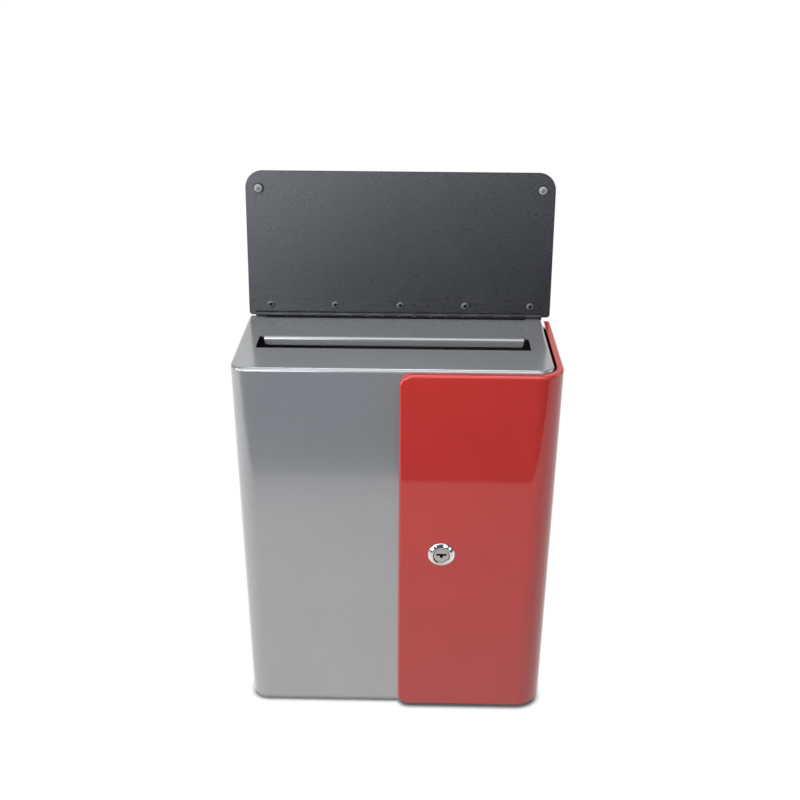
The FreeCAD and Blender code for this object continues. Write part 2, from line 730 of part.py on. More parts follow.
def make_butt_leaf(label, foot, first, sheet_low, sheet_high, bore):
    """One leaf of a door hinge, standing on foot, whose knuckles start with the given one."""
    body = new_body(label)
    prism(body, "leaf_sheet", "XY_Plane", foot, "%s + butt_length" % foot,
          frame(sheet_low, sheet_high, "butt_y - butt_width", "butt_y - butt_clear"))
    spans = knuckle_spans(first, foot, "butt_pitch", "butt_count")
    for n, (low, high) in enumerate(spans):
        prism(body, "tab_%d" % n, "XY_Plane", low, high,
              frame(sheet_low, sheet_high, "butt_y - butt_clear - butt_leaf", "butt_y"))
        prism(body, "knuckle_%d" % n, "XY_Plane", low, high, rounds([("butt_x", "butt_y")], "butt_radius"))
    prism(body, "bore", "XY_Plane", "%s - butt_leaf" % foot, "%s + butt_length + butt_leaf" % foot,
          rounds([("butt_x", "butt_y")], bore), cut=True)
    return body


def make_door_hinges():
    bodies = []
    for name, foot in (("upper", "upper_butt"), ("lower", "lower_butt")):
        bodies.append(make_butt_leaf(name + "_hinge_body_leaf", foot, 0,
                                     "half_width", "half_width + butt_leaf", "butt_pin"))
        bodies.append(make_butt_leaf(name + "_hinge_door_leaf", foot, 1,
                                     "skin_side - butt_leaf", "skin_side",
                                     "butt_pin + pin_fit"))
        pin = new_body(name + "_hinge_pin")
        prism(pin, "pin", "XY_Plane", foot, "%s + butt_length" % foot,
              rounds([("butt_x", "butt_y")], "butt_pin"))
        bodies.append(pin)
    return bodies


# Cam lock: housing and nut on the door, and the plug with its cam, washer and screw

def make_lock_housing():
    body = new_body("lock_housing")
    profile = [
        ("plug_bore", "bezel_face + bezel_dip"),
        ("plug_bore", "barrel_end"),
        ("barrel_radius", "barrel_end"),
        ("barrel_radius", "door_front"),
        ("bezel_radius", "door_front"),
        ("bezel_radius", "door_front - bezel_skirt"),
        ("bezel_crest", "bezel_face"),
    ]
    revolve(body, "housing", "XY_Plane", profile)
    place(body, x="lock_x", z="lock_z")
    return body


def make_lock_nut():
    body = new_body("lock_nut")
    flat = "nut_across / 2"
    side = "nut_across / 2 * tan(30 deg)"
    point = "nut_across / 2 / cos(30 deg)"
    ring = [(flat, "-(%s)" % side), (flat, side), ("0", point), ("-(%s)" % flat, side),
            ("-(%s)" % flat, "-(%s)" % side), ("0", "-(%s)" % point)]

    def draw(sketch):
        outline(sketch, ring)
        circle(sketch, "0", "0", "barrel_radius")
    prism(body, "nut", "XZ_Plane", "skin_front", "skin_front + nut_height", draw)
    place(body, x="lock_x", z="lock_z")
    return body


def make_lock_plug():
    body = new_body("lock_plug")
    revolve(body, "plug", "XY_Plane", [
        ("0", "plug_face"),
        ("plug_radius", "plug_face"),
        ("plug_radius", "barrel_end"),
        ("0", "barrel_end"),
    ])
    half = "tail_square / 2"
    prism(body, "tail", "XZ_Plane", "barrel_end - wall", "cam_back", frame("-" + half, half, "-" + half, half))
    keyhole = [
        ("-keyway_width / 2", "0"),
        ("-keyway_stem / 2", "0"),
        ("-keyway_stem / 2", "-keyway_drop"),
        ("keyway_stem / 2", "-keyway_drop"),
        ("keyway_stem / 2", "0"),
        ("keyway_width / 2", "0"),
        ("keyway_width / 2", "keyway_height"),
        ("-keyway_width / 2", "keyway_height"),
    ]
    prism(body, "keyway", "XZ_Plane", "plug_face - wall", "plug_face + keyway_depth",
          lambda sketch: outline(sketch, keyhole), cut=True)
    prism(body, "screw_hole", "XZ_Plane", "cam_back - screw_depth", "cam_back + wall",
          rounds([("0", "0")], "screw_shank"), cut=True)
    place(body, x="lock_x", z="lock_z")
    return body


def make_lock_cam():
    body = new_body("lock_cam")
    half = "cam_width / 2"
    ring = [("-" + half, "-cam_reach", "cam_tip"), (half, "-cam_reach", "cam_tip"),
            (half, half, "cam_tip"), ("-" + half, half, "cam_tip")]
    prism(body, "arm", "XZ_Plane", "cam_front", "cam_back", lambda sketch: outline(sketch, ring))
    square = "tail_square / 2"
    prism(body, "square_hole", "XZ_Plane", "cam_front - wall", "cam_back + wall",
          frame("-" + square, square, "-" + square, square), cut=True)
    place(body, x="lock_x", z="lock_z")
    return body


def make_cam_washer():
    body = new_body("cam_washer")
    revolve(body, "ring", "XY_Plane", [
        ("screw_shank", "cam_back"),
        ("washer_radius", "cam_back"),
        ("washer_radius", "washer_back"),
        ("screw_shank", "washer_back"),
    ])
    place(body, x="lock_x", z="lock_z")
    return body


def make_cam_screw():
    body = new_body("cam_screw")
    revolve(body, "screw", "XY_Plane", [
        ("0", "cam_back - screw_depth"),
        ("screw_shank", "cam_back - screw_depth"),
        ("screw_shank", "washer_back"),
        ("screw_head", "washer_back"),
        ("screw_top", "washer_back + screw_crown"),
        ("0", "washer_back + screw_crown"),
    ])
    low = "washer_back + cross_floor"
    high = "washer_back + 2 * screw_crown"
    prism(body, "cross_across", "XZ_Plane", low, high,
          frame("-cross_reach", "cross_reach", "-cross_half", "cross_half"), cut=True)
    prism(body, "cross_upright", "XZ_Plane", low, high,
          frame("-cross_half", "cross_half", "-cross_reach", "cross_reach"), cut=True)
    place(body, x="lock_x", z="lock_z")
    return body


def main():
    bodies = [make_body_wrap(), make_top_panel(), make_bottom_panel(), make_back_panel()]
    bodies += [make_lid_hinge_body_leaf(), make_lid_hinge_pin(), make_body_leaf_rivets()]
    bodies += [make_lid_plate(), make_lid_hinge_lid_leaf(), make_lid_rivets()]
    bodies.append(make_lid_bumper("lid_bumper_left", "-half_width + bumper_side"))
    bodies.append(make_lid_bumper("lid_bumper_right", "door_side - bumper_side"))
    bodies.append(make_door_panel())
    bodies += make_door_hinges()
    bodies += [make_lock_housing(), make_lock_nut(), make_lock_plug()]
    bodies += [make_lock_cam(), make_cam_washer(), make_cam_screw()]
    doc.recompute()
    for item in doc.Objects:
        if "Invalid" in item.State or "Error" in item.State:
            raise RuntimeError(item.Name + " failed: " + str(item.State))
    for body in bodies:
        if body.Shape.isNull() or not body.Shape.isValid():
            raise RuntimeError(body.Label + " has no valid shape")
    os.makedirs("parts", exist_ok=True)
    for body in bodies:
        body.Shape.exportStep("parts/%s.step" % body.Label)
        box = body.Shape.BoundBox
        print("%-22s %d solid(s) %10.1f mm3  x %.1f..%.1f  y %.1f..%.1f  z %.1f..%.1f" % (
            body.Label, len(body.Shape.Solids), body.Shape.Volume,
            box.XMin, box.XMax, box.YMin, box.YMax, box.ZMin, box.ZMax))


main()
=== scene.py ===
# %% [markdown]
# # A donation box of folded, painted steel
# The real box is bent from thin sheet steel: a silver-grey body with round front corners, a dark lid
# on a piano hinge, and a red door that wraps round one corner and is held shut by a chromed cam lock.
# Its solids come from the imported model, so this lesson is about what the solids lack: paint, plating,
# clear plastic, small domed fasteners, and the studio that the paint mirrors.

# %% Load the solids and note how large they are
import json
import math

import bpy
import bmesh
from mathutils import Matrix, Vector


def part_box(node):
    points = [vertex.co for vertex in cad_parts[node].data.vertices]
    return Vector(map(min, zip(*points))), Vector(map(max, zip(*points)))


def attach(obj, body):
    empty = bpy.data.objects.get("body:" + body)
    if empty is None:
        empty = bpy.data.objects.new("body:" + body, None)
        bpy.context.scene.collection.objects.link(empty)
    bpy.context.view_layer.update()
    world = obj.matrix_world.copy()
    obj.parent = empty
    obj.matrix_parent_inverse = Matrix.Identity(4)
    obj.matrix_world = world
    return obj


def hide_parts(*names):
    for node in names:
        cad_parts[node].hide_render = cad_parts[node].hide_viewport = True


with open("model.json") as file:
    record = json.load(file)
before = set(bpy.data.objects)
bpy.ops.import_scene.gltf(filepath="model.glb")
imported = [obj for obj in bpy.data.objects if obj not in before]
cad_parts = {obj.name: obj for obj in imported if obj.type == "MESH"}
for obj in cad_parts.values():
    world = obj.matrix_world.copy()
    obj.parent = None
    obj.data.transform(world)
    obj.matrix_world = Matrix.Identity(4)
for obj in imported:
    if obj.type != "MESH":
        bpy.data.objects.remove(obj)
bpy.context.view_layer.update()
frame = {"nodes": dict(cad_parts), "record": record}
nodes = frame["nodes"]

# %% [markdown]
# ## How the lid stands
# The lid stands open, leaning back a little past upright. What sits on it could be placed in the
# room's own axes, but then every place would need its own sines. A frame on the hinge's axis, turned
# as the lid is, lets a rivet be placed by the sizes of the closed lid: so far before the axis, so far
# above it.

# %% The lid's own frame
MM = 0.001
LID_LEAN = math.radians(9.5)
joint_places = {joint["name"]: joint["pos_m"] for joint in frame["record"]["behaviour"]["joints"]}
hinge_axis = Vector(joint_places["lid_swing"])
lid_turn = Matrix.Rotation(-math.pi / 2 - LID_LEAN, 4, "X")
lid_frame = Matrix.Translation((0, hinge_axis.y, hinge_axis.z)) @ lid_turn
off_the_lid = lid_turn @ Vector((0, 0, -1))
print("the lid's inner side faces", [round(v, 3) for v in off_the_lid])

# %% [markdown]
# ## Sums in a shader
# Each finish below is a tree of nodes. Wiring them one by one is how it is done by mouse, but a finish
# is easier to read as a formula than as a picture of wires. `Wire` holds one socket, and the usual
# signs on it add Math nodes, so `1 - mask` works as it does on paper.


# %% A wire that can stand in a sum
class Wire:
    """One socket of a shader tree, which can stand in a sum."""

    def __init__(self, finish, socket):
        self.finish = finish
        self.socket = socket

    def joined(self, operation, first, second):
        return self.finish.node("ShaderNodeMath", {"operation": operation}, [first, second])

    def __add__(self, other):
        return self.joined("ADD", self, other)

    def __radd__(self, other):
        return self.joined("ADD", other, self)

    def __sub__(self, other):
        return self.joined("SUBTRACT", self, other)

    def __rsub__(self, other):
        return self.joined("SUBTRACT", other, self)

    def __mul__(self, other):
        return self.joined("MULTIPLY", self, other)

    def __rmul__(self, other):
        return self.joined("MULTIPLY", other, self)

    def above(self, other):
        return self.joined("GREATER_THAN", self, other)


print("wires can be added, taken away, multiplied and compared")

# %% [markdown]
# ## A finish and its nodes
# A finish is a material, or the light of the room. All of its other nodes come from one method, which
# takes a node's type, its settings and what goes into its sockets. A few lines per node would do as
# well, but one method keeps every recipe below as short as a list of what is in the paint.


# %% A finish that holds its nodes
def set_stops(ramp, stops):
    """Give a colour ramp its stops, as pairs of place and grey."""
    while len(ramp.elements) > 1:
        ramp.elements.remove(ramp.elements[-1])
    for index, (place, grey) in enumerate(stops):
        element = ramp.elements[0] if index == 0 else ramp.elements.new(place)
        element.position = place
        element.color = (grey, grey, grey, 1)


class Finish:
    """A material, or the world, with its node tree."""

    def __init__(self, name, owner=None):
        self.owner = owner or bpy.data.materials.new(name)
        self.owner.use_nodes = True
        self.tree = self.owner.node_tree
        self.tree.nodes.clear()

    def node(self, kind, settings=None, sockets=(), output=0):
        """Add a node: its settings first, then its sockets by place or name; returns one output."""
        made = self.tree.nodes.new(kind)
        for name, value in (settings or {}).items():
            if name == "stops":
                set_stops(made.color_ramp, value)
            else:
                setattr(made, name, value)
        pairs = sockets.items() if isinstance(sockets, dict) else enumerate(sockets)
        for place, value in pairs:
            if isinstance(value, Wire):
                self.tree.links.new(value.socket, made.inputs[place])
            else:
                made.inputs[place].default_value = value
        return Wire(self, made.outputs[output]) if made.outputs else None

    def show(self, shader, kind="ShaderNodeOutputMaterial"):
        self.node(kind, sockets={"Surface": shader})
        return self.owner

    def skin(self, sockets):
        """End a material with one Principled shader."""
        return self.show(self.node("ShaderNodeBsdfPrincipled", sockets=sockets))


print("shader tools are ready")

# %% [markdown]
# ## Grain, tint and relief
# Paint, powder and plating all vary a little over a surface. A picture of each could be wrapped round
# the pieces, but it would stretch at the folds. Noise in the object's own coordinates, in metres, keeps
# a grain of half a millimetre that size on every piece, and it moves with the piece. Colours are mixed
# by a Mix node, because a Math node would turn them grey.

# %% Noise at a real size, and what it drives
MIX_FACTOR, MIX_LOW, MIX_HIGH, MIX_COLOUR = 0, 6, 7, 2


def grain(finish, size, detail=2.0, stretch=(1, 1, 1)):
    """Soft noise whose blots are about `size` metres across, from 0 to 1."""
    place = finish.node("ShaderNodeTexCoord", output="Object")
    scaled = finish.node("ShaderNodeMapping", sockets={"Vector": place, "Scale": stretch})
    return finish.node(
        "ShaderNodeTexNoise", sockets={"Vector": scaled, "Scale": 1 / size, "Detail": detail}
    )


def between(low, high, factor):
    """A value that runs from low to high as a wire runs from 0 to 1."""
    return factor * (high - low) + low


def tinted(finish, low, high, factor, blend="MIX"):
    """A colour between two, each a wire or three numbers."""
    low, high = (end if isinstance(end, Wire) else (*end, 1) for end in (low, high))
    return finish.node(
        "ShaderNodeMix",
        {"data_type": "RGBA", "blend_type": blend},
        {MIX_FACTOR: factor, MIX_LOW: low, MIX_HIGH: high},
        output=MIX_COLOUR,
    )


def bumped(finish, height, depth):
    """The surface's normal after a small relief of `depth` metres."""
    return finish.node("ShaderNodeBump", sockets={"Strength": 1.0, "Distance": depth, "Height": height})


print("noise is ready")

# %% [markdown]
# ## Paint
# The body and the door are sprayed with a glossy paint: a coloured coat under a clear one. The clear
# coat mirrors the pale floor as a thin veil, which is why the lower part of the door looks paler than
# its top. The silver has fine flakes in it, so its base is part metal, and it mirrors the floor more
# strongly. Sprayed paint is never quite flat: a slow ripple of a few millimetres, called orange peel,
# softens what it mirrors. All of it could be one flat colour, but that would look like plastic in any
# other light.

# %% Silver paint with flakes, and red paint
FLAKE_SIZE = 0.9 * MM
PEEL_SIZE = 3.5 * MM
PEEL_DEPTH = 0.02 * MM
SILVER_CLOUD = 70 * MM
SILVER_DARK, SILVER_LIGHT = (0.295, 0.300, 0.305), (0.450, 0.454, 0.459)
RED_CLOUD = 60 * MM
RED_DARK, RED_LIGHT = (0.440, 0.025, 0.019), (0.560, 0.036, 0.029)


def silver_paint():
    finish = Finish("silver_paint")
    flakes = grain(finish, FLAKE_SIZE)
    shade = flakes * 0.7 + grain(finish, SILVER_CLOUD) * 0.3
    peel = grain(finish, PEEL_SIZE, detail=1.0)
    return finish.skin({
        "Base Color": tinted(finish, SILVER_DARK, SILVER_LIGHT, shade),
        "Metallic": 0.49,
        "Roughness": between(0.14, 0.22, flakes),
        "Coat Weight": 1.0,
        "Coat Roughness": 0.08,
        "Coat IOR": 1.58,
        "Normal": bumped(finish, peel, PEEL_DEPTH),
    })


def red_paint():
    finish = Finish("red_paint")
    specks = grain(finish, FLAKE_SIZE)
    shade = grain(finish, RED_CLOUD) * 0.6 + specks * 0.4
    peel = grain(finish, PEEL_SIZE, detail=1.0)
    return finish.skin({
        "Base Color": tinted(finish, RED_DARK, RED_LIGHT, shade),
        "Roughness": between(0.42, 0.50, specks),
        "Specular IOR Level": 0.1,
        "Coat Weight": 1.0,
        "Coat Roughness": 0.05,
        "Coat IOR": 1.63,
        "Normal": bumped(finish, peel, PEEL_DEPTH),
    })


finishes = {"silver_paint": silver_paint(), "red_paint": red_paint()}
print("paint is mixed:", sorted(finishes))

# %% [markdown]
# ## Powder coat
# The lid has a dark grey powder coat: a satin skin of fine pebbles, about a millimetre apart, which shows
# as a soft grain where a lamp grazes it. Pebbles in the mesh would take millions of faces. Here one noise
# does three things at once: it lifts the surface by a little bump, paints the crowns of the pebbles paler
# and their hollows darker, a painted shade that deepens the grain, and makes the crowns duller than the
# hollows. The grain's colour is stretched past both of its ends, so that the specks stay crisp.

# %% Dark grey powder coat
PEBBLE_SIZE = 1.1 * MM
PEBBLE_DEPTH = 0.15 * MM
POWDER_CLOUD = 50 * MM
POWDER_DARK, POWDER_LIGHT = (0.000, 0.000, 0.001), (0.026, 0.026, 0.031)


def grey_powder():
    finish = Finish("grey_powder")
    pebbles = grain(finish, PEBBLE_SIZE)
    # painted shade: the pebbles' hollows darker and their crowns paler, plus a slow random tone
    shade = pebbles * 1.5 + grain(finish, POWDER_CLOUD) * 0.3 - 0.4
    return finish.skin({
        "Base Color": tinted(finish, POWDER_DARK, POWDER_LIGHT, shade),
        "Roughness": between(0.18, 0.44, pebbles),
        "Normal": bumped(finish, pebbles, PEBBLE_DEPTH),
    })


finishes["grey_paint"] = grey_powder()
print("powder is baked:", finishes["grey_paint"].name)

# %% [markdown]
# ## Rivet metal
# The lid's rivets are dark steel, rubbed a little brighter in spots. The stub of the mandrel in each one
# lies in shade, so its finish is a painted shade, nearly black, and the hinge's pin, seen only in the
# shade between its knuckles, gets the same painted shade.
# The lid's paint could cover them too, but real rivets are set after painting, and a small change of
# gloss is what makes them stand out.

# %% Rubbed rivets, and mandrels in painted shade
RUB_SIZE = 1.2 * MM
RIVET_DARK, RIVET_LIGHT = (0.070, 0.071, 0.075), (0.150, 0.152, 0.158)
SCALE_SIZE = 0.6 * MM
MANDREL_SHADE_DARK, MANDREL_SHADE_LIGHT = (0.002, 0.002, 0.003), (0.008, 0.008, 0.009)


def rivet_grey():
    finish = Finish("rivet_grey")
    rubbed = grain(finish, RUB_SIZE)
    return finish.skin({
        "Base Color": tinted(finish, RIVET_DARK, RIVET_LIGHT, rubbed),
        "Metallic": 0.5,
        "Roughness": between(0.22, 0.34, rubbed),
    })


def mandrel_painted_shade():
    finish = Finish("mandrel_painted_shade")
    scale = grain(finish, SCALE_SIZE)
    # painted shade: the stubs lie in shade, so their colour is nearly black
    return finish.skin({
        "Base Color": tinted(finish, MANDREL_SHADE_DARK, MANDREL_SHADE_LIGHT, scale),
        "Roughness": between(0.55, 0.75, scale),
        "Specular IOR Level": 0.15,
    })


rivet_finish = rivet_grey()
mandrel_shade_finish = mandrel_painted_shade()
# the hinge's pin gets the same painted shade, for the shade between its knuckles
own_finish = {"lid_hinge_pin": mandrel_shade_finish}
print("rivet metal:", rivet_finish.name, mandrel_shade_finish.name)

# %% [markdown]
# ## Chrome and zinc
# The lock's rim is chromed, with faint smears of handling. The hidden hinges and the lock's cam are
# zinc-plated, which is greyer and drawn along its length. Both are plain metals, so a bright base
# colour, full Metallic and an uneven roughness are enough.

# %% Plated metals
SMEAR_SIZE = 3 * MM
CHROME_DARK, CHROME_LIGHT = (0.74, 0.74, 0.75), (0.84, 0.84, 0.85)
SPANGLE_SIZE = 2 * MM
BRUSH_SIZE = 0.6 * MM
BRUSH_DEPTH = 0.01 * MM
ZINC_DARK, ZINC_LIGHT = (0.46, 0.46, 0.45), (0.60, 0.60, 0.60)


def chrome():
    finish = Finish("lock_chrome")
    smears = grain(finish, SMEAR_SIZE, detail=3.0)
    return finish.skin({
        "Base Color": tinted(finish, CHROME_DARK, CHROME_LIGHT, smears),
        "Metallic": 1.0,
        "Roughness": between(0.05, 0.11, smears),
    })


def zinc():
    finish = Finish("hinge_zinc")
    spangle = grain(finish, SPANGLE_SIZE, detail=3.0)
    brushed = grain(finish, BRUSH_SIZE, stretch=(1, 1, 0.05))
    return finish.skin({
        "Base Color": tinted(finish, ZINC_DARK, ZINC_LIGHT, spangle),
        "Metallic": 1.0,
        "Roughness": between(0.28, 0.43, brushed),
        "Normal": bumped(finish, brushed, BRUSH_DEPTH),
    })


finishes["lock_chrome"] = chrome()
finishes["hinge_steel"] = zinc()
print("plated:", finishes["lock_chrome"].name, finishes["hinge_steel"].name)

# %% [markdown]
# ## The lock's plug
# The plug is plain nickel, warmer and duller than the rim. Its keyway is a deep slot, and in a real lock
# hardly any light comes back out of it. A fine dark gap runs round the plug too. A render of the clean
# solid shows neither shadow, so the finish has painted shade: it turns nearly black below the plug's
# face, and dark in a ring near its edge.

# %% Nickel with painted shade in the keyway and towards the edge
SCUFF_SIZE = 1.2 * MM
NICKEL_DARK, NICKEL_LIGHT = (0.52, 0.49, 0.45), (0.66, 0.63, 0.59)
KEYWAY_FROM = 0.3 * MM
KEYWAY_SHADE = (0.012, 0.011, 0.010)
KEYWAY_DULLER = 0.4
GAP_FROM, GAP_FULL = 6.3 * MM, 6.7 * MM
GAP_SHADE = (0.060, 0.057, 0.054)
PLUG_FACE_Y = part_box("lock_plug")[0][1]
LOCK_AXIS = joint_places["lock_turn"]
ACROSS_AXIS = (1, 0, 1)


def from_lock_axis(finish, place):
    """How far a point is from the axis that the lock's plug turns on."""
    apart = finish.node("ShaderNodeVectorMath", {"operation": "SUBTRACT"}, [place, LOCK_AXIS])
    across = finish.node("ShaderNodeVectorMath", {"operation": "MULTIPLY"}, [apart, ACROSS_AXIS])
    return finish.node("ShaderNodeVectorMath", {"operation": "LENGTH"}, [across], output="Value")


def nickel():
    finish = Finish("plug_nickel")
    scuffs = grain(finish, SCUFF_SIZE, detail=3.0, stretch=(1, 1, 0.2))
    place = finish.node("ShaderNodeTexCoord", output="Object")
    depth = finish.node("ShaderNodeSeparateXYZ", sockets=[place], output="Y") - PLUG_FACE_Y
    # painted shade: nearly black in the keyway, and a dark ring near the plug's edge for the shadow of a
    # gap
    keyway_shade_mask = depth.above(KEYWAY_FROM)
    gap = finish.node("ShaderNodeMapRange", sockets=[from_lock_axis(finish, place), GAP_FROM, GAP_FULL])
    bright = tinted(finish, NICKEL_DARK, NICKEL_LIGHT, scuffs)
    face = tinted(finish, bright, GAP_SHADE, gap)
    return finish.skin({
        "Base Color": tinted(finish, face, KEYWAY_SHADE, keyway_shade_mask),
        "Metallic": 1.0,
        "Roughness": between(0.24, 0.39, scuffs) + keyway_shade_mask * KEYWAY_DULLER,
    })


own_finish["lock_plug"] = nickel()
print("the plug's face is at y =", round(PLUG_FACE_Y, 4))

# %% [markdown]
# ## Clear bumpers
# The two bumpers are drops of clear soft plastic. Thick clear plastic bends light so that its foot looks
# dark and a bright ring stands near its top. Glass shading alone would need far more light paths to show
# that on a piece of a few pixels, so a ramp over the bumper's height paints that light into the plastic's
# colour: a painted dark foot and a painted bright ring.

# %% Clear plastic with a painted dark foot and bright ring
HAZE_SIZE = 2 * MM
UNDER_LID = 2.4 * MM
BUMPER_HEIGHT = 4.6
BUMPER_PAINTED_LIGHT = [(0.45, 0.02), (0.62, 0.40), (0.82, 0.97), (0.90, 0.90), (0.99, 0.35)]
LID_SIDE = off_the_lid.dot(lid_frame @ Vector((0, 0, UNDER_LID)))
BUMPER_TOP = LID_SIDE + BUMPER_HEIGHT * MM


def clear_plastic():
    finish = Finish("clear_bumper")
    haze = grain(finish, HAZE_SIZE)
    place = finish.node("ShaderNodeTexCoord", output="Object")
    level = finish.node(
        "ShaderNodeVectorMath", {"operation": "DOT_PRODUCT"}, [place, off_the_lid], output="Value"
    )
    height = finish.node("ShaderNodeMapRange", sockets=[level, LID_SIDE, BUMPER_TOP])
    return finish.skin({
        # painted light: the colour is dark at the foot and bright in a ring near the crown
        "Base Color": finish.node("ShaderNodeValToRGB", {"stops": BUMPER_PAINTED_LIGHT}, [height]),
        "Roughness": between(0.03, 0.09, haze),
        "Transmission Weight": 0.7,
        "IOR": 1.45,
    })


finishes["clear_bumper"] = clear_plastic()
print("finishes by slot:", sorted(finishes))

# %% [markdown]
# ## Dressing the solids
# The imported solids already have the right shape, so each keeps its mesh and only gets a finish and
# smooth shading. Faces could each have a finish of their own, but every piece of the real box has one
# all over. Edges sharper than 35 degrees stay crisp, and the fine steps of a rounded fold melt into one
# curve.

# %% Put each finish on the solids of its slot
SHARP_ABOVE = math.radians(35)
for part in frame["record"]["subparts"]:
    solid = nodes[part["node"]]
    solid.data.materials.clear()
    solid.data.materials.append(own_finish.get(part["node"], finishes[part["material_slot"]]))
    solid.data.shade_smooth()
    solid.data.set_sharp_from_angle(angle=SHARP_ABOVE)

# %% [markdown]
# ## Soft edges on the painted sheets
# A bent and painted sheet has no knife edges: paint rounds them by half a millimetre or a little more,
# and each rounded edge catches a thin line of light. The solids are cut into triangles, so a first
# modifier joins the ones that lie in one plane, and a second one rounds the edges that are left. Both are
# modifiers, so the solid itself stays as it was imported.

# %% Round the edges of the door and the lid
FLAT_WITHIN = math.radians(1)
EDGE_STEPS = 3
EDGE_WIDTHS = {"door_panel": 0.7, "lid_plate": 0.5}
for name, width in EDGE_WIDTHS.items():
    flat = nodes[name].modifiers.new("join_flat_faces", "DECIMATE")
    flat.decimate_type = "DISSOLVE"
    flat.angle_limit = FLAT_WITHIN
    soft = nodes[name].modifiers.new("soft_edge", "BEVEL")
    soft.width = width * MM
    soft.segments = EDGE_STEPS
    soft.limit_method = "ANGLE"
    soft.angle_limit = SHARP_ABOVE
    soft.use_clamp_overlap = False
    soft.loop_slide = False
    soft.harden_normals = True
    print("rounded the edges of", name, "by", width, "mm")

# %% [markdown]
# ## Turned pieces
# Rivet heads, bumpers and the lock's rim are round about one axis. The solids hold them as plain cones
# and rings, which is enough for a drawing. To the eye they are soft domes, so each is spun here from a
# short profile of radius and height. `bmesh.ops.spin` could do it with a few more calls, but rings
# written out one by one keep the count of faces exact and close the crown with clean triangles.

# %% Spin a profile round an axis
TURN_STEPS = 36


def turned(mesh, profile, matrix):
    """Add the profile's (radius, height) rings, in millimetres, spun about the matrix's Z axis."""
    rings = []
    for radius, height in profile:
        turns = [2 * math.pi * n / TURN_STEPS for n in range(TURN_STEPS if radius else 1)]
        places = [Vector((math.cos(a) * radius, math.sin(a) * radius, height)) * MM for a in turns]
        rings.append([mesh.verts.new(matrix @ place) for place in places])
    for low, high in zip(rings, rings[1:]):
        for n in range(TURN_STEPS):
            corners = [ring[step % len(ring)] for ring, step in (
                (low, n), (low, n + 1), (high, n + 1), (high, n)
            )]
            mesh.faces.new(list(dict.fromkeys(corners)))


print("each ring has", TURN_STEPS, "corners")

# %% [markdown]
# ## From a profile to a piece
# A piece needs more than a mesh: a finish, smooth shading, the body of the box that it moves with, and
# the solids that it stands for, which are then hidden. One function does all of it, so no piece can miss
# a step.


# %% Make a piece that rides on a body
def piece(name, shapes, finish, body, slot, *stands_for):
    """One object of one or more turned shapes, riding on a body in place of some solids."""
    mesh = bmesh.new()
    for profile, matrix in shapes:
        turned(mesh, profile, matrix)
    bmesh.ops.recalc_face_normals(mesh, faces=mesh.faces)
    data = bpy.data.meshes.new(name)
    mesh.to_mesh(data)
    mesh.free()
    data.materials.append(finish)
    data.shade_smooth()
    data.set_sharp_from_angle(angle=SHARP_ABOVE)
    made = bpy.data.objects.new(name, data)
    bpy.context.scene.collection.objects.link(made)
    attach(made, body)
    if stands_for:
        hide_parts(*stands_for)
    print(name, len(data.polygons), "faces")
    return made


# %% [markdown]
# ## Rivets on the lid
# Five blind rivets hold the hinge to the lid. Each has a domed head with a dark hole, where its mandrel
# broke off, and a shank that ends flush on the lid's other side. The heads could be pressed into the
# lid as bump, but seen from the side they stand proud, so they are real shapes. The five sit in a row
# between the ends of the solid rivets that they stand for.

# %% Five rivets and the stubs of their mandrels
UNDER_LEAF = 1.4 * MM
RIVET_SETBACK = 8.3 * MM
RIVET_COUNT = 5
SOLID_HEAD = 3.25 * MM
RIVET_HEAD = [
    (0, -2.45), (1.6, -2.45), (1.6, 0), (3.6, 0), (3.6, 0.25), (3.4, 0.6), (3.0, 1.0), (2.5, 1.35),
    (2.05, 1.55), (1.75, 1.6), (1.6, 1.5), (1.5, 1.2), (1.45, 0.4), (0, 0.35),
]
MANDREL = [(1.47, 0.4), (1.47, 0.7), (1.0, 0.8), (0, 0.75)]


def under_lid(x, setback, level):
    """A frame on the lid's inner side whose Z axis points away from the lid."""
    return lid_frame @ Matrix.Translation((x, -setback, level)) @ Matrix.Rotation(math.pi, 4, "X")


rivet_low, rivet_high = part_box("lid_rivets")
first_rivet, last_rivet = rivet_low[0] + SOLID_HEAD, rivet_high[0] - SOLID_HEAD
rivet_pitch = (last_rivet - first_rivet) / (RIVET_COUNT - 1)
rivet_frames = [
    under_lid(first_rivet + rivet_pitch * n, RIVET_SETBACK, UNDER_LEAF) for n in range(RIVET_COUNT)
]
piece(
    "lid_rivet_heads", [(RIVET_HEAD, at) for at in rivet_frames],
    rivet_finish, "lid", "grey_paint", "lid_rivets",
)
piece(
    "lid_rivet_mandrels", [(MANDREL, at) for at in rivet_frames],
    mandrel_shade_finish, "lid", "grey_paint",
)

# %% [markdown]
# ## Bumpers on the lid
# A bumper near each front corner keeps the lid from clapping on the body. It is a soft dome on a short
# straight skirt. A squashed sphere would look alike from the front, but not where it meets the lid.

# %% Two domed bumpers
BUMPER_SETBACK = 110.3 * MM
BUMPER_RADIUS = 4.6
BUMPER_SKIRT = 0.6
DOME_STEPS = 8


def dome(radius, height, skirt):
    """Rings of a dome on a short straight skirt, from its foot to its crown."""
    rings = [(radius, 0), (radius, skirt)]
    for n in range(1, DOME_STEPS):
        angle = math.pi / 2 * n / DOME_STEPS
        rings.append((radius * math.cos(angle), skirt + (height - skirt) * math.sin(angle)))
    return rings + [(0, height)]


bumper = dome(BUMPER_RADIUS, BUMPER_HEIGHT, BUMPER_SKIRT)
for side in ("left", "right"):
    solid = "lid_bumper_" + side
    middle = sum(corner[0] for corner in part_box(solid)) / 2
    piece(
        "bumper_dome_" + side,
        [(bumper, under_lid(middle, BUMPER_SETBACK, UNDER_LID))],
        finishes["clear_bumper"], "lid", "clear_bumper", solid,
    )

